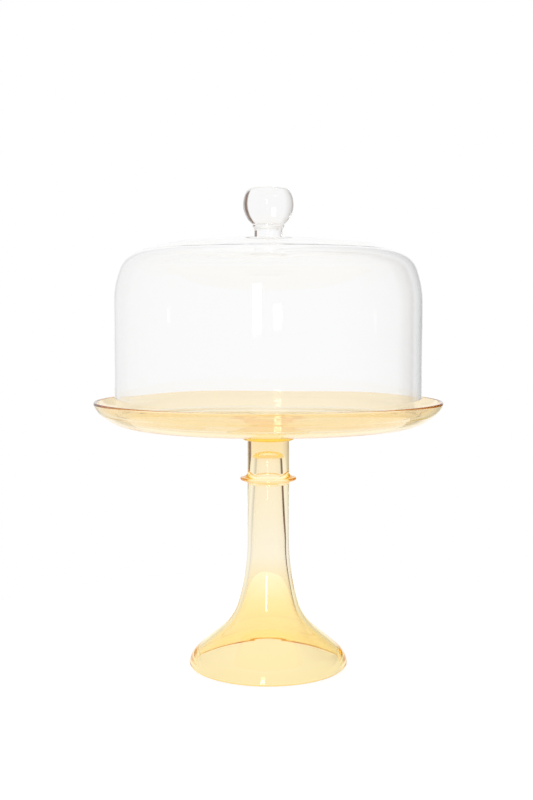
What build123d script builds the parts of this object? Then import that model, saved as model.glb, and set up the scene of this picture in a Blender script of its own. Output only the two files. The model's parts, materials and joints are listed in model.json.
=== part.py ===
from build123d import *
import math
import os

# Glass cake stand with a lift-off dome.
# Millimetres, +Z up. The origin is the centre of the ring that the foot stands on.
# Every sub-part is a body of revolution about Z, drawn as a half section in the XZ plane.

# --- driving dimensions -------------------------------------------------------------------

# Plate: a shallow saucer with an upturned, fire-polished lip.
plate_r = 152.4              # a 12 inch plate
plate_glass = 3.4
plate_rim_z = 232.6          # where the outer wall is widest, just below the rounded lip
rim_lean = 15.0              # degrees that the wall still leans out at the lip
wall_r, wall_end = 16.5, 53.3        # upper bend of the wall, and its lean where it ends
wall_run = 5.4                       # straight stretch between the two bends
heel_r = 40.0                        # bend from the wall into the flat bottom

# Merese: the wafer of hot glass that joins the pedestal to the plate.
merese_h = 12.8
merese_low_r = 22.6          # radius of its lower edge
merese_top_r = 31.5          # radius where it spreads out under the plate
merese_edge = 1.6            # rounding of the lower edge

# Pedestal: one blown piece, a tall stem that opens into a trumpet foot.
stem_r = 18.4
stem_straight_to = 110.7     # the stem is a plain tube above this height
trumpet_r1, trumpet_a1 = 194.0, 16.8     # first, slow curve of the trumpet
trumpet_r2, trumpet_a2 = 47.0, 50.4      # second, quicker curve
foot_slope = 28.1                        # straight slope of the foot
foot_shoulder_r, foot_shoulder_a = 20.1, 11.6
foot_edge_r = 2.0
bubble_top_z = 190.4         # the stem is solid glass above its hollow
bubble_roof_r, bubble_roof_a = 14.0, 25.0    # the hollow's end is a rounded cap
bubble_corner_r = 7.0
bubble_lean = 3.8            # degrees that the hollow's side leans, wider towards the trumpet
bubble_foot_r = 14.7         # hollow's radius at the start of the trumpet
foot_thicken = 2.0           # the hollow's slope is this much shorter, so the foot's edge is thicker
foot_ring_w = 2.2            # width of the flat ring that the foot stands on

# Stem ring: a bead of glass laid round the stem.
ring_z = 165.7
ring_r = 24.8
ring_slope = 4.8             # height of the bead on the stem, above and below its edge
ring_edge = 1.4              # half the thickness of the bead's rounded edge

# Dome: straight wall, broad shoulder, and a crown that dips a little towards its knob.
dome_r = 134.2
dome_glass = 3.0
seat_gap = 0.25              # air between the dome's edge and the plate
dome_straight_to = 319.8
shoulder_r1, shoulder_a1 = 85.3, 20.3
shoulder_r2, shoulder_a2 = 24.0, 72.4
shoulder_run = 14.5          # straight slope between the shoulder and the crest
crest_r = 64.3
crown_dip = 6.0              # degrees that the crown slopes down inside its crest
crown_flat_r = 20.0          # flat middle of the crown, where the knob is fused on

# Knob: a solid ball on a short neck, its top pressed almost flat.
knob_r = 22.1
knob_centre_z = 405.4
knob_top_z = 420.3
pressed_crown_r, pressed_a = 110.0, 8.1  # the pressed top is a shallow cap of a large sphere
ball_high_z = 416.6                      # the ball turns over to its pressed top from here
neck_r = 12.3
neck_flare_w, neck_flare_h = 2.2, 3.0    # the neck's foot spreads over the crown
collar_r = 13.9
collar_z = 386.0
collar_taper = 2.5

os.makedirs("parts", exist_ok=True)


def heading(lean, inward=False, down=False):
    """Unit direction that leans away from the vertical by an angle in degrees."""
    across, along = math.sin(math.radians(lean)), math.cos(math.radians(lean))
    return (-across if inward else across, -along if down else along)


# --- plate --------------------------------------------------------------------------------

with BuildPart() as plate:
    with BuildSketch(Plane.XZ):
        with BuildLine():
            lean_in = heading(rim_lean, inward=True, down=True)
            under_wall = JernArc((plate_r, plate_rim_z), lean_in, wall_r, rim_lean - wall_end)
            under_run = PolarLine(under_wall @ 1, wall_run, direction=under_wall % 1)
            under_heel = JernArc(under_run @ 1, under_run % 1, heel_r, wall_end - 90)
            under_flat = Line(under_heel @ 1, (0, (under_heel @ 1).Y))
            middle = Line(under_flat @ 1, (0, (under_heel @ 1).Y + plate_glass))
            floor_flat = Line(middle @ 1, ((under_heel @ 1).X, (middle @ 1).Y))
            floor_heel = JernArc(floor_flat @ 1, (1, 0), heel_r - plate_glass, 90 - wall_end)
            floor_run = PolarLine(floor_heel @ 1, wall_run, direction=floor_heel % 1)
            floor_wall = JernArc(floor_run @ 1, floor_run % 1, wall_r - plate_glass, wall_end - rim_lean)
            lip = TangentArc(floor_wall @ 1, under_wall @ 0, tangent=floor_wall % 1)
        make_face()
    revolve(axis=Axis.Z)

plate_under_z = (under_heel @ 1).Y
plate_floor_z = plate_under_z + plate_glass
heel_centre = Vector((under_heel @ 1).X, plate_under_z + heel_r)

# --- merese -------------------------------------------------------------------------------

merese_low_z = plate_under_z - merese_h

with BuildPart() as merese:
    with BuildSketch(Plane.XZ):
        with BuildLine():
            low_face = Line((0, merese_low_z), (merese_low_r - merese_edge, merese_low_z))
            low_edge = JernArc(low_face @ 1, (1, 0), merese_edge, 90)
            spread = TangentArc(low_edge @ 1, (merese_top_r, plate_under_z), tangent=low_edge % 1)
            top_face = Line(spread @ 1, (0, plate_under_z))
            Line(top_face @ 1, low_face @ 0)
        make_face()
    revolve(axis=Axis.Z)

# --- pedestal: stem, trumpet and foot -----------------------------------------------------

trumpet_wall = stem_r - bubble_foot_r

with BuildPart() as pedestal:
    with BuildSketch(Plane.XZ):
        with BuildLine():
            stem_top = Line((0, merese_low_z), (stem_r, merese_low_z))
            stem = Line(stem_top @ 1, (stem_r, stem_straight_to))
            slow = JernArc(stem @ 1, (0, -1), trumpet_r1, trumpet_a1)
            quick = JernArc(slow @ 1, slow % 1, trumpet_r2, trumpet_a2 - trumpet_a1)
            slope = PolarLine(quick @ 1, foot_slope, direction=quick % 1)
            shoulder = JernArc(slope @ 1, slope % 1, foot_shoulder_r, foot_shoulder_a - trumpet_a2)
            outer_edge = TangentArc(
                shoulder @ 1,
                ((shoulder @ 1).X - foot_edge_r, 0),
                tangent=shoulder % 1,
            )
            standing_ring = Line(outer_edge @ 1, ((outer_edge @ 1).X - foot_ring_w, 0))

            bubble_start = (bubble_foot_r, stem_straight_to)
            in_slow = JernArc(bubble_start, (0, -1), trumpet_r1 + trumpet_wall, trumpet_a1)
            in_quick = JernArc(
                in_slow @ 1, in_slow % 1, trumpet_r2 + trumpet_wall, trumpet_a2 - trumpet_a1
            )
            in_slope = PolarLine(in_quick @ 1, foot_slope - foot_thicken, direction=in_quick % 1)
            in_shoulder = JernArc(
                in_slope @ 1, in_slope % 1, foot_shoulder_r - trumpet_wall, foot_shoulder_a - trumpet_a2
            )
            Line(in_shoulder @ 1, standing_ring @ 1)

            roof = JernArc((0, bubble_top_z), (1, 0), bubble_roof_r, -bubble_roof_a)
            corner_a = bubble_roof_a + bubble_lean - 90
            bubble_corner = JernArc(roof @ 1, roof % 1, bubble_corner_r, corner_a)
            Line(bubble_corner @ 1, bubble_start)
            Line(roof @ 0, stem_top @ 0)
        make_face()
    revolve(axis=Axis.Z)

# --- stem ring ----------------------------------------------------------------------------

with BuildPart() as stem_ring:
    with BuildSketch(Plane.XZ):
        with BuildLine():
            bead_r = ring_r - ring_edge
            bead_top = (stem_r, ring_z + ring_slope)
            bead_bottom = (stem_r, ring_z - ring_slope)
            lower = TangentArc((bead_r, ring_z - ring_edge), bead_bottom, tangent=(-1, 0))
            upper = TangentArc((bead_r, ring_z + ring_edge), bead_top, tangent=(-1, 0))
            ThreePointArc(lower @ 0, (ring_r, ring_z), upper @ 0)
            Line(upper @ 1, lower @ 1)
        make_face()
    revolve(axis=Axis.Z)

# --- dome ---------------------------------------------------------------------------------

# The dome's edge is a half round. It rests where the plate's floor starts to rise, so its
# centre lies on a circle about the centre of the heel's bend.
edge_r = dome_glass / 2
edge_reach = heel_r - plate_glass - edge_r - seat_gap
edge_across = dome_r - edge_r - heel_centre.X
dome_edge_z = heel_centre.Y - math.sqrt(edge_reach**2 - edge_across**2)
half_angle = shoulder_a2 - shoulder_a1

with BuildPart() as dome:
    with BuildSketch(Plane.XZ):
        with BuildLine():
            wall = Line((dome_r, dome_edge_z), (dome_r, dome_straight_to))
            ease = JernArc(wall @ 1, (0, 1), shoulder_r1, shoulder_a1)
            turn = JernArc(ease @ 1, ease % 1, shoulder_r2, half_angle)
            rise = PolarLine(turn @ 1, shoulder_run, direction=turn % 1)
            crest = JernArc(rise @ 1, rise % 1, crest_r, 90 - shoulder_a2 + crown_dip)
            dip_r = ((crest @ 1).X - crown_flat_r) / math.sin(math.radians(crown_dip))
            dip = JernArc(crest @ 1, crest % 1, dip_r, -crown_dip)
            crown = Line(dip @ 1, (0, (dip @ 1).Y))

            core = Line(crown @ 1, (0, (crown @ 1).Y - dome_glass))
            in_crown = Line(core @ 1, ((dip @ 1).X, (core @ 1).Y))
            in_dip = JernArc(in_crown @ 1, (1, 0), dip_r + dome_glass, crown_dip)
            in_crest = JernArc(
                in_dip @ 1, in_dip % 1, crest_r - dome_glass, shoulder_a2 - 90 - crown_dip
            )
            in_rise = PolarLine(in_crest @ 1, shoulder_run, direction=in_crest % 1)
            in_turn = JernArc(in_rise @ 1, in_rise % 1, shoulder_r2 - dome_glass, -half_angle)
            in_ease = JernArc(in_turn @ 1, in_turn % 1, shoulder_r1 - dome_glass, -shoulder_a1)
            in_wall = Line(in_ease @ 1, (dome_r - dome_glass, dome_edge_z))
            ThreePointArc(in_wall @ 1, (dome_r - edge_r, dome_edge_z - edge_r), wall @ 0)
        make_face()
    revolve(axis=Axis.Z)

crown_z = (dip @ 1).Y

# --- knob ---------------------------------------------------------------------------------

# The ball starts where its sphere is as wide as the collar.
ball_low_z = knob_centre_z - math.sqrt(knob_r**2 - collar_r**2)
ball_high_r = math.sqrt(knob_r**2 - (ball_high_z - knob_centre_z) ** 2)

with BuildPart() as knob:
    with BuildSketch(Plane.XZ):
        with BuildLine():
            flare_low = (neck_r + neck_flare_w, crown_z)
            flare = TangentArc((neck_r, crown_z + neck_flare_h), flare_low, tangent=(0, -1))
            neck = Line(flare @ 0, (neck_r, collar_z - collar_taper))
            taper = Line(neck @ 1, (collar_r, collar_z))
            collar = Line(taper @ 1, (collar_r, ball_low_z))
            ball = ThreePointArc(collar @ 1, (knob_r, knob_centre_z), (ball_high_r, ball_high_z))
            pressed_top = JernArc((0, knob_top_z), (1, 0), pressed_crown_r, -pressed_a)
            press_edge = TangentArc(ball @ 1, pressed_top @ 1, tangent=ball % 1)
            Line(pressed_top @ 0, (0, crown_z))
            Line((0, crown_z), flare_low)
        make_face()
    revolve(axis=Axis.Z)

# --- export -------------------------------------------------------------------------------

plate.part.label = "plate"
merese.part.label = "merese"
pedestal.part.label = "pedestal"
stem_ring.part.label = "stem_ring"
dome.part.label = "dome"
knob.part.label = "knob"
export_step(plate.part, "parts/plate.step")
export_step(merese.part, "parts/merese.step")
export_step(pedestal.part, "parts/pedestal.step")
export_step(stem_ring.part, "parts/stem_ring.step")
export_step(dome.part, "parts/dome.step")
export_step(knob.part, "parts/knob.step")

print("plate floor", round(plate_floor_z, 2), "dome edge", round(dome_edge_z - edge_r, 2))
print("crest", round((crest @ 0.75).Y, 2), "crown", round(crown_z, 2))
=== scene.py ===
import json
import math

import bpy
import numpy as np
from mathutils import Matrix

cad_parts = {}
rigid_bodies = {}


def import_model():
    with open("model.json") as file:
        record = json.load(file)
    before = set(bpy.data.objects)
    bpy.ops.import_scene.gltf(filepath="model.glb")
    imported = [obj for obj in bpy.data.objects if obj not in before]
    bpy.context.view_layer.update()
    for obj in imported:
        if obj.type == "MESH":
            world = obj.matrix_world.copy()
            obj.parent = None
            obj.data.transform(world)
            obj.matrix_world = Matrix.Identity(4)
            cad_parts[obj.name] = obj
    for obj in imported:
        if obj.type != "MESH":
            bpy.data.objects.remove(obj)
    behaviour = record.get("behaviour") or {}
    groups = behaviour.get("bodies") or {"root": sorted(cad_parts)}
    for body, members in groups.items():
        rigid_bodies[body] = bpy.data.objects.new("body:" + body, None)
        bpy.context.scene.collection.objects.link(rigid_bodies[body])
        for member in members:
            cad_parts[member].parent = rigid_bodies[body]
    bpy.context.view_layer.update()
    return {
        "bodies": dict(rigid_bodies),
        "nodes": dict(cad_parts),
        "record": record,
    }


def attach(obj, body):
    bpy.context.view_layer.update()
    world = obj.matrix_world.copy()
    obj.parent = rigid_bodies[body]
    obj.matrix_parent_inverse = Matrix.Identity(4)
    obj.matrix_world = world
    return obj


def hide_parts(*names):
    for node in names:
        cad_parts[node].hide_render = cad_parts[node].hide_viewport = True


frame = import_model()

# A footed glass cake stand with a lift-off glass dome. Metres, +Z up, the foot's ring on z = 0.
# Every piece is turned afresh from its CAD node's own outline, at a finer step, with the slight
# unevenness of hand-made glass and a clean, seamless fuse where two pieces of glass meet.

SEGMENTS = 240               # steps round the axis
LONGEST_STEP = 0.004         # the longest step along a section
LARGEST_TURN = math.radians(2.5)     # the largest turn between two steps of an arc
SHARP_EDGE = math.radians(25)        # a larger turn stays a crisp edge
SAME_POINT = 2e-6            # points nearer than this are one point
CHORD_SLACK = SAME_POINT / 4         # a detour over a point on a chord is longer by less than this
STRAIGHT = math.radians(0.05)        # a chord that turns less than this is straight
SEAM_GAP = 1e-5              # the hairline between two fused faces, which light crosses unbent

UNEVEN_SEED = 41
UNEVEN_WAVES = 9             # ripples added together on each piece
FEWEST_LOBES, MOST_LOBES = 1, 7      # lobes of a ripple round the axis
SHORTEST_RIPPLE, LONGEST_RIPPLE = 0.035, 0.16    # its length along the section
RIPPLE_SKEW = 0.5            # how much higher a ripple stands on one side of the axis
RIPPLE_FADE = 0.012          # ripples die out this near to the axis and to a fused face

GLASS_IOR = 1.52
BODY_DENSITY = 100           # per metre, so a body colour is what is left after a centimetre
PEEL_SCALE, PEEL_DETAIL = 28, 2      # the noise of the orange peel
PEEL_STRENGTH, PEEL_DEPTH = 0.25, 0.0002
HAZE_SCALE, HAZE_DETAIL = 60, 4      # the noise of the haze
HAZE_START, HAZE_END = 0.35, 0.75    # its levels where the haze starts and where it is full
MOST_HAZE = 0.04                     # the roughness where it is full

FLOOR_SHADE = 0.25
FLOOR_ROUGHNESS = 0.6
FLOOR_GLOW = 0.83            # keeps the floor white under the glass


# --- half sections, read from the CAD nodes ------------------------------------------------

def half_turn(chord, normal_a, normal_b):
    """Half the angle that a section's short chord turns through, from the normals at its ends.

    At the end of an arc the node has its facet's normal, which says nothing, so the end that
    turns more is the one to go by."""
    along = math.atan2(chord[1], chord[0])
    turns = []
    for (nr, nz), sign in ((normal_a, -1), (normal_b, 1)):
        off = math.atan2(nr, -nz) - along
        turns.append(sign * (off - math.pi * round(off / math.pi)))
    return max(turns, key=abs)


def section_links(node):
    """The chords of a node's outline in the half plane r > 0: {point: {next point: half turn}}."""
    mesh = frame["nodes"][node].data
    normals = mesh.corner_normals
    points, links = [], {}

    def point_at(co):
        here = (co.x if co.x > SAME_POINT else 0.0, co.z)
        known = [p for p in points if math.dist(p, here) < SAME_POINT]
        if not known:
            points.append(here)
        return known[0] if known else here

    for face in mesh.polygons:
        corners = [(mesh.vertices[v].co, normals[c].vector)
                   for v, c in zip(face.vertices, face.loop_indices)]
        on_plane = [(point_at(co), (n.x, n.z)) for co, n in corners
                    if abs(co.y) < SAME_POINT and co.x > -SAME_POINT]
        if len(on_plane) != 2 or on_plane[0][0] == on_plane[1][0]:
            continue
        (a, normal_a), (b, normal_b) = on_plane
        turn = half_turn((b[0] - a[0], b[1] - a[1]), normal_a, normal_b)
        links.setdefault(a, {})[b] = turn
        links.setdefault(b, {})[a] = -turn
    return links


def join_across_flats(links):
    """Adds the flat ring faces, which have no chord of their own: two loose ends at one height."""
    loose = sorted((p for p in links if len(links[p]) == 1 and p[0] > 0), key=lambda p: p[1])
    for a, b in zip(loose, loose[1:]):
        if abs(a[1] - b[1]) < SAME_POINT:
            links[a][b] = links[b][a] = 0.0


def read_section(node):
    """A node's outline as a list of (r, z) points and the half turn that leads to the next one.

    It runs from axis to axis, or once round for a ring that doesn't reach the axis."""
    links = section_links(node)
    join_across_flats(links)
    ends = sorted((p for p in links if len(links[p]) == 1), key=lambda p: p[1])
    here = ends[0] if ends else min(links)
    chain, turns = [here], []
    while True:
        onward = [p for p in links[here] if p not in chain[-2:]]
        if not onward or onward[0] == chain[0]:
            break
        turns.append(links[here][onward[0]])
        here = onward[0]
        chain.append(here)
    if not ends:
        turns.append(links[here][chain[0]])
        return chain + [chain[0]], turns
    if chain[0][0] > 0:
        chain.insert(0, (0.0, chain[0][1]))
        turns.insert(0, 0.0)
    if chain[-1][0] > 0:
        chain.append((0.0, chain[-1][1]))
        turns.append(0.0)
    return chain, turns


# --- fused faces --------------------------------------------------------------------------

def on_chord(point, a, b):
    return math.dist(a, point) + math.dist(point, b) - math.dist(a, b) < CHORD_SLACK


def lies_on(point, section):
    """Whether a point is on one of the straight chords of a section."""
    chain, turns = section
    return any(abs(turn) < STRAIGHT and on_chord(point, a, b)
               for a, b, turn in zip(chain, chain[1:], turns))


def contact(section_a, section_b):
    """The (r, z) box of the flat face or the cylinder that two sections share."""
    shared = [p for p in section_a[0] if lies_on(p, section_b)]
    shared += [p for p in section_b[0] if lies_on(p, section_a)]
    r, z = zip(*shared)
    return (min(r), min(z)), (max(r), max(z))


def in_contact(point, box):
    return all(low - SAME_POINT < here < high + SAME_POINT for here, low, high in zip(point, *box))


def cut_at(section, point):
    """The section with a point of its own where a neighbour's fused face ends."""
    chain, turns = section
    for i, (a, b) in enumerate(zip(chain, chain[1:])):
        apart = min(math.dist(a, point), math.dist(b, point)) > SAME_POINT
        if abs(turns[i]) < STRAIGHT and on_chord(point, a, b) and apart:
            return chain[:i + 1] + [point] + chain[i + 1:], turns[:i] + [0.0, 0.0] + turns[i + 1:]
    return section


# --- turned meshes -------------------------------------------------------------------------

def stretch_points(a, b, turn):
    """Points from a, inclusive, to b, exclusive, along the arc or the straight between them."""
    chord = math.dist(a, b)
    steps = max(math.ceil(chord / LONGEST_STEP), math.ceil(2 * abs(turn) / LARGEST_TURN))
    ur, uz = (b[0] - a[0]) / chord, (b[1] - a[1]) / chord
    points = []
    for k in range(steps):
        forward, aside = chord * k / steps, 0.0
        if abs(turn) > STRAIGHT:
            radius = chord / (2 * math.sin(turn))
            here = turn * (2 * k / steps - 1)
            forward = chord / 2 + radius * math.sin(here)
            aside = radius * (math.cos(turn) - math.cos(here))
        points.append((a[0] + forward * ur - aside * uz, a[1] + forward * uz + aside * ur))
    return points


def fine_section(section):
    """The outline at a fine step, counter-clockwise in (r, z), as an array of points."""
    chain, turns = section
    points = []
    for a, b, turn in zip(chain, chain[1:], turns):
        points += stretch_points(a, b, turn)
    points.append(chain[-1])
    outline = np.array(points)
    r, z = outline.T
    area = np.sum(r * np.roll(z, -1) - np.roll(r, -1) * z)
    return outline if area > 0 else outline[::-1]


def outward(outline, ring):
    """Unit normals of the outline, pointing out of the glass."""
    if ring:
        along = np.roll(outline[:-1], -1, axis=0) - np.roll(outline[:-1], 1, axis=0)
        along = np.vstack([along, along[:1]])
    else:
        along = np.gradient(outline, axis=0)
    along /= np.linalg.norm(along, axis=1)[:, None]
    return np.column_stack([along[:, 1], -along[:, 0]])


def ripples(travel, angles, draw):
    """A smooth random height from 0 to 1 over the section's travel and the angle round the axis."""
    height = np.zeros((len(travel), len(angles)))
    for _ in range(UNEVEN_WAVES):
        lobes = draw.integers(FEWEST_LOBES, MOST_LOBES + 1)
        length = draw.uniform(SHORTEST_RIPPLE, LONGEST_RIPPLE)
        phase, skew = draw.uniform(0, 2 * math.pi, 2)
        wave = lobes * angles[None, :] + 2 * math.pi * travel[:, None] / length + phase
        height += np.cos(wave) * (1 + RIPPLE_SKEW * np.cos(angles[None, :] + skew))
    return 0.5 + 0.5 * height / np.abs(height).max()


def fade_near(outline, boxes):
    """0 at the axis and at fused faces, rising to 1 away from them."""
    reach = outline[:, 0].copy()
    for (r0, z0), (r1, z1) in boxes:
        gap_r = np.maximum(np.maximum(r0 - outline[:, 0], outline[:, 0] - r1), 0)
        gap_z = np.maximum(np.maximum(z0 - outline[:, 1], outline[:, 1] - z1), 0)
        reach = np.minimum(reach, np.hypot(gap_r, gap_z))
    share = np.clip(reach / RIPPLE_FADE, 0, 1)
    return share * share * (3 - 2 * share)


def ring_mesh(name, grid, on_axis, ring, fused):
    """A closed mesh of rows of points round the axis, with its fused bands of faces marked."""
    vertices, rows = [], []
    for i, row in enumerate(grid):
        if on_axis[i]:
            rows.append([len(vertices)] * SEGMENTS)
            vertices.append((0.0, 0.0, float(row[:, 2].mean())))
        elif ring and i == len(grid) - 1:
            rows.append(rows[0])
        else:
            rows.append(list(range(len(vertices), len(vertices) + SEGMENTS)))
            vertices += [tuple(v) for v in row]
    faces, marks = [], []
    for low, high, mark in zip(rows, rows[1:], fused):
        for j in range(SEGMENTS):
            k = (j + 1) % SEGMENTS
            faces.append(tuple(dict.fromkeys((low[j], low[k], high[k], high[j]))))
            marks.append(float(mark))
    mesh = bpy.data.meshes.new(name)
    mesh.from_pydata(vertices, [], faces)
    mesh.attributes.new("fused", "FLOAT", "FACE").data.foreach_set("value", marks)
    mesh.shade_smooth()
    mesh.set_sharp_from_angle(angle=SHARP_EDGE)
    mesh.validate()
    return mesh


def turned_piece(name, section, boxes, unevenness, seed):
    """The section turned round the axis, with its fused faces marked.

    Ripples only take glass away, so the piece stays inside its CAD node."""
    outline = fine_section(section)
    ring = outline[:, 0].min() > 0
    middles = (outline[:-1] + outline[1:]) / 2
    fused = [any(in_contact(m, box) for box in boxes) for m in middles]
    near_fused = [any(in_contact(p, box) for box in boxes) for p in outline]
    travel = np.concatenate([[0], np.cumsum(np.linalg.norm(np.diff(outline, axis=0), axis=1))])
    angles = 2 * math.pi * np.arange(SEGMENTS) / SEGMENTS
    draw = np.random.default_rng(seed)
    depth = unevenness * ripples(travel, angles, draw) * fade_near(outline, boxes)[:, None]
    if ring:
        depth[-1] = depth[0]
    depth += np.where(near_fused, SEAM_GAP / 2, 0.0)[:, None]
    inward = -outward(outline, ring)
    radii = outline[:, :1] + depth * inward[:, :1]
    heights = outline[:, 1:] + depth * inward[:, 1:]
    grid = np.stack([radii * np.cos(angles), radii * np.sin(angles), heights], axis=2)
    mesh = ring_mesh(name, grid, outline[:, 0] == 0, ring, fused)
    piece = bpy.data.objects.new(name, mesh)
    bpy.context.scene.collection.objects.link(piece)
    return piece


# --- materials -----------------------------------------------------------------------------

MIX_A, MIX_B, MIX_RESULT = 6, 7, 2   # the colour sockets of a mix node


def noise(tree, scale, detail):
    coords = tree.nodes.new("ShaderNodeTexCoord")
    texture = tree.nodes.new("ShaderNodeTexNoise")
    texture.inputs["Scale"].default_value = scale
    texture.inputs["Detail"].default_value = detail
    tree.links.new(coords.outputs["Object"], texture.inputs["Vector"])
    return texture.outputs["Fac"]


def remap(tree, value, low, high, from_low=0.0, from_high=1.0):
    node = tree.nodes.new("ShaderNodeMapRange")
    node.inputs["From Min"].default_value = from_low
    node.inputs["From Max"].default_value = from_high
    node.inputs["To Min"].default_value = low
    node.inputs["To Max"].default_value = high
    tree.links.new(value, node.inputs["Value"])
    return node.outputs["Result"]


def maths(tree, operation, *values):
    node = tree.nodes.new("ShaderNodeMath")
    node.operation = operation
    for value, socket in zip(values, node.inputs):
        if isinstance(value, (int, float)):
            socket.default_value = value
        else:
            tree.links.new(value, socket)
    return node.outputs[0]


def blend(tree, share, a, b):
    """Colour a where the share is 0 and colour b where it is 1."""
    node = tree.nodes.new("ShaderNodeMix")
    node.data_type = "RGBA"
    tree.links.new(share, node.inputs["Factor"])
    for value, socket in ((a, node.inputs[MIX_A]), (b, node.inputs[MIX_B])):
        if isinstance(value, tuple):
            socket.default_value = (*value, 1)
        else:
            tree.links.new(value, socket)
    return node.outputs[MIX_RESULT]


def ramp(tree, stops, value):
    """A colour that runs through stops of (value, colour)."""
    low, high = stops[0][0], stops[-1][0]
    node = tree.nodes.new("ShaderNodeValToRGB")
    tree.links.new(remap(tree, value, 0, 1, low, high), node.inputs["Fac"])
    elements = node.color_ramp.elements
    while len(elements) < len(stops):
        elements.new(0.5)
    for element, (at, colour) in zip(elements, stops):
        element.position = (at - low) / (high - low)
        element.color = (*colour, 1)
    return node.outputs["Color"]


def split_axes(tree, space):
    """The X, Y and Z of a texture coordinate, by name."""
    coords = tree.nodes.new("ShaderNodeTexCoord")
    split = tree.nodes.new("ShaderNodeSeparateXYZ")
    tree.links.new(coords.outputs[space], split.inputs[0])
    return split.outputs


def height_tint_with_painted_shade(tree, stops, fused):
    """A tint that varies with height, between stops of (height in metres, colour). It is partly the
    glass's own amber and partly painted shade: the deeper amber that light takes on along its long way
    inside the glass.

    Faces fused inside the glass have none."""
    return blend(tree, fused, ramp(tree, stops, split_axes(tree, "Object")["Z"]), (1, 1, 1))


def glass(name, skin_colour, body_colour, tint_and_shade_stops=None):
    """Solid glass, coloured through its depth, with a faint orange peel and a breath of haze."""
    material = bpy.data.materials.new(name)
    material.use_nodes = True
    tree = material.node_tree
    tree.nodes.clear()
    output = tree.nodes.new("ShaderNodeOutputMaterial")
    shader = tree.nodes.new("ShaderNodeBsdfPrincipled")
    shader.inputs["Base Color"].default_value = (*skin_colour, 1)
    shader.inputs["Transmission Weight"].default_value = 1.0
    fused = tree.nodes.new("ShaderNodeAttribute")
    fused.attribute_name = "fused"
    # The tint by height is partly the glass's own amber and partly painted shade, the deeper amber of
    # light's long way inside the glass.
    if tint_and_shade_stops:
        tint_with_painted_shade = height_tint_with_painted_shade(tree, tint_and_shade_stops, fused.outputs["Fac"])
        tree.links.new(tint_with_painted_shade, shader.inputs["Base Color"])
    tree.links.new(remap(tree, fused.outputs["Fac"], GLASS_IOR, 1.0), shader.inputs["IOR"])
    haze = remap(tree, noise(tree, HAZE_SCALE, HAZE_DETAIL), 0.0, MOST_HAZE, HAZE_START, HAZE_END)
    open_face = remap(tree, fused.outputs["Fac"], 1.0, 0.0)
    tree.links.new(maths(tree, "MULTIPLY", haze, open_face), shader.inputs["Roughness"])
    bump = tree.nodes.new("ShaderNodeBump")
    bump.inputs["Strength"].default_value = PEEL_STRENGTH
    bump.inputs["Distance"].default_value = PEEL_DEPTH
    tree.links.new(noise(tree, PEEL_SCALE, PEEL_DETAIL), bump.inputs["Height"])
    tree.links.new(bump.outputs["Normal"], shader.inputs["Normal"])
    tree.links.new(shader.outputs["BSDF"], output.inputs["Surface"])
    depth = tree.nodes.new("ShaderNodeVolumeAbsorption")
    depth.inputs["Color"].default_value = (*body_colour, 1)
    depth.inputs["Density"].default_value = BODY_DENSITY
    tree.links.new(depth.outputs["Volume"], output.inputs["Volume"])
    return material


def pale_floor():
    material = bpy.data.materials.new("pale_floor")
    material.use_nodes = True
    tree = material.node_tree
    shader = tree.nodes["Principled BSDF"]
    shader.inputs["Base Color"].default_value = (FLOOR_SHADE, FLOOR_SHADE, FLOOR_SHADE, 1)
    shader.inputs["Roughness"].default_value = FLOOR_ROUGHNESS
    shader.inputs["Emission Color"].default_value = (1, 1, 1, 1)
    shader.inputs["Emission Strength"].default_value = FLOOR_GLOW
    return material


# --- the pieces ----------------------------------------------------------------------------

FUSED_PAIRS = (("plate", "merese"), ("merese", "pedestal"), ("pedestal", "stem_ring"), ("dome", "knob"))
UNEVENNESS = {"plate": 1.2e-4, "merese": 4e-5, "pedestal": 1.2e-4, "stem_ring": 4e-5,
              "dome": 1.2e-4, "knob": 8e-5}


# The amber is deepest in the merese, the foot and the plate, and palest in the stem. Only part of this
# is the glass's own amber. The deep band in the merese and the deeper foot and plate are also painted
# shade: the deeper colour that light takes on along its long way inside the glass.
AMBER_TINT_AND_PAINTED_SHADE = ((0.0, (1.0, 0.86, 0.50)), (0.05, (1.0, 0.875, 0.58)), (0.095, (1.0, 0.96, 0.875)),
               (0.178, (1.0, 0.945, 0.85)), (0.188, (1.0, 0.905, 0.77)), (0.1932, (1.0, 0.86, 0.72)),
               (0.199, (1.0, 0.86, 0.72)), (0.201, (1.0, 0.74, 0.04)), (0.2115, (1.0, 0.74, 0.04)),
               (0.2135, (1.0, 0.87, 0.635)), (0.24, (1.0, 0.87, 0.635)))


def build_pieces():
    amber = glass("amber_glass", (1.0, 1.0, 1.0), (0.995, 0.97, 0.85), AMBER_TINT_AND_PAINTED_SHADE)
    clear = glass("clear_glass", (0.985, 0.987, 0.986), (0.99, 0.99, 0.99))
    finish = {"stand": ("amber_glass", amber), "cover": ("clear_glass", clear)}
    sections = {node: read_section(node) for node in frame["nodes"]}
    contacts = {node: [] for node in sections}
    for pair in FUSED_PAIRS:
        box = contact(*(sections[node] for node in pair))
        for node in pair:
            contacts[node].append(box)
            for corner in box:
                sections[node] = cut_at(sections[node], corner)
    seed = UNEVEN_SEED
    for body in frame["bodies"]:
        for node in frame["record"]["behaviour"]["bodies"][body]:
            seed += 1
            piece = turned_piece(f"{node}_glass", sections[node], contacts[node], UNEVENNESS[node], seed)
            slot, material = finish[body]
            piece.data.materials.append(material)
            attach(piece, body)
            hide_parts(node)


# --- studio --------------------------------------------------------------------------------

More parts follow.
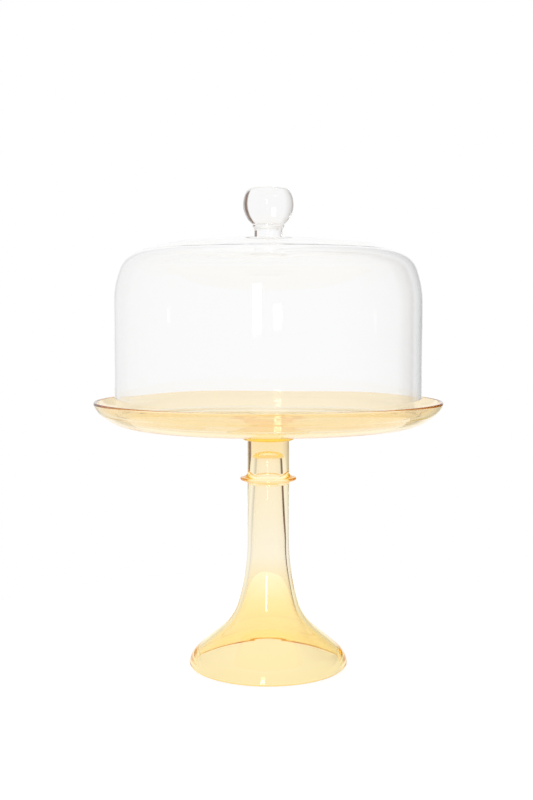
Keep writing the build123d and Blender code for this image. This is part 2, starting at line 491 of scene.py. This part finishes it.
TABLE_RINGS = (0.02, 0.1, 0.2, 0.3, 0.365)
CAMERA_PLACE = (-0.0016, -0.9828, 0.3005)
CAMERA_DIP = math.radians(3.82)      # the camera looks down by this
CAMERA_LENS, CAMERA_SENSOR = 50.34, 36       # millimetres, the sensor's along the long side
WINDOW_PLACE = (-0.42, -3.0, 0.785)
WINDOW_SIZE = (0.32, 1.0)
WINDOW_RADIANCE = 8.0
MOST_BOUNCES = 128                   # light runs a long way round inside a wall of glass
NO_CROSSING = 0.5                    # light that has crossed fewer faces than this is only mirrored
EDGE_CROSSINGS = 2.5                 # light that has crossed fewer than this has met one wall at most

# How much of the room's dark low walls shows, by the angle from straight behind the object: in light
# that the glass mirrors, where they are grey, and in light that it bends, where they are warm.
MIRRORED_SIDES = ((-180, 0.0), (-62, 0.0), (-50, 0.26), (-34, 0.3), (-22, 0.48), (-17, 0.0), (17, 0.0),
                  (23, 0.9), (32, 1.0), (46, 0.8), (60, 0.35), (90, 0.2), (115, 0.05), (180, 0.0))
BENT_SIDES = ((-180, 0.11), (-100, 0.32), (-64, 0.40), (-56, 0.30), (-44, 0.16), (-30, 0.0), (0, 0.0),
              (42, 0.0), (48, 1.0), (62, 1.0), (70, 0.49), (100, 0.41), (130, 0.11), (180, 0.11))
LOW_WALLS = (0.14, 0.05, 0.01)
MIRRORED_WALLS = (0.05, 0.05, 0.05)
OVERHEAD = ((-90, 1.0), (50, 1.0), (65, 1.2), (90, 1.2))     # the soft light above
BRIGHTEST = max(value for _, value in OVERHEAD)


def level(tree, stops, angle):
    """A level that runs through (angle in degrees, level) stops, with levels from 0 to 1."""
    return ramp(tree, [(math.radians(at), (value, value, value)) for at, value in stops], angle)


def studio_world():
    world = bpy.data.worlds.new("studio")
    bpy.context.scene.world = world
    world.use_nodes = True
    tree = world.node_tree
    axes = split_axes(tree, "Generated")
    around = maths(tree, "ARCTAN2", axes["X"], axes["Y"])
    height = maths(tree, "ARCSINE", axes["Z"])
    paths = tree.nodes.new("ShaderNodeLightPath")
    crossings = paths.outputs["Transmission Depth"]
    mirrored = maths(tree, "MULTIPLY", level(tree, MIRRORED_SIDES, around),
                     maths(tree, "LESS_THAN", crossings, NO_CROSSING))
    once = maths(tree, "MULTIPLY", maths(tree, "GREATER_THAN", crossings, NO_CROSSING),
                 maths(tree, "LESS_THAN", crossings, EDGE_CROSSINGS))
    bent = maths(tree, "MULTIPLY", level(tree, BENT_SIDES, around), once)
    sides = blend(tree, bent, blend(tree, mirrored, (1, 1, 1), MIRRORED_WALLS), LOW_WALLS)
    sides = blend(tree, paths.outputs["Is Camera Ray"], sides, (1, 1, 1))
    overhead = remap(tree, level(tree, [(at, value / BRIGHTEST) for at, value in OVERHEAD], height),
                     0, BRIGHTEST)
    backdrop = maths(tree, "MAXIMUM", overhead, paths.outputs["Is Camera Ray"])
    background = tree.nodes["Background"]
    tree.links.new(sides, background.inputs["Color"])
    tree.links.new(backdrop, background.inputs["Strength"])


def table_top():
    """A round pale table top, just big enough to stand behind the foot in every view."""
    angles = [2 * math.pi * k / SEGMENTS for k in range(SEGMENTS)]
    vertices, faces = [(0, 0, 0)], []
    for radius in TABLE_RINGS:
        start = len(vertices)
        vertices += [(radius * math.cos(angle), radius * math.sin(angle), 0) for angle in angles]
        for k in range(SEGMENTS):
            n = (k + 1) % SEGMENTS
            if radius == TABLE_RINGS[0]:
                faces.append((0, start + k, start + n))
            else:
                before = start - SEGMENTS
                faces.append((before + k, start + k, start + n, before + n))
    mesh = bpy.data.meshes.new("table_top")
    mesh.from_pydata(vertices, [], faces)
    floor = bpy.data.objects.new("table_top", mesh)
    bpy.context.scene.collection.objects.link(floor)
    mesh.materials.append(pale_floor())


def camera():
    data = bpy.data.cameras.new("camera")
    data.sensor_fit = "AUTO"
    data.sensor_width = CAMERA_SENSOR
    data.lens = CAMERA_LENS
    view = bpy.data.objects.new("camera", data)
    view.location = CAMERA_PLACE
    view.rotation_euler = (math.pi / 2 - CAMERA_DIP, 0, 0)
    bpy.context.scene.collection.objects.link(view)
    bpy.context.scene.camera = view


def window_light():
    """A small bright window behind the camera, which the polished glass shows as highlights."""
    data = bpy.data.lights.new("window", "AREA")
    data.shape = "RECTANGLE"
    data.size, data.size_y = WINDOW_SIZE
    data.energy = WINDOW_RADIANCE * math.pi * WINDOW_SIZE[0] * WINDOW_SIZE[1]
    window = bpy.data.objects.new("window", data)
    window.location = WINDOW_PLACE
    window.rotation_euler = (math.pi / 2, 0, 0)
    bpy.context.scene.collection.objects.link(window)


def picture():
    """Plain colours, and enough bounces for light to cross every wall of glass and come back."""
    scene = bpy.context.scene
    scene.view_settings.view_transform = "Standard"
    scene.cycles.max_bounces = MOST_BOUNCES
    scene.cycles.transmission_bounces = MOST_BOUNCES
    scene.cycles.glossy_bounces = MOST_BOUNCES


build_pieces()
table_top()
studio_world()
window_light()
camera()
picture()
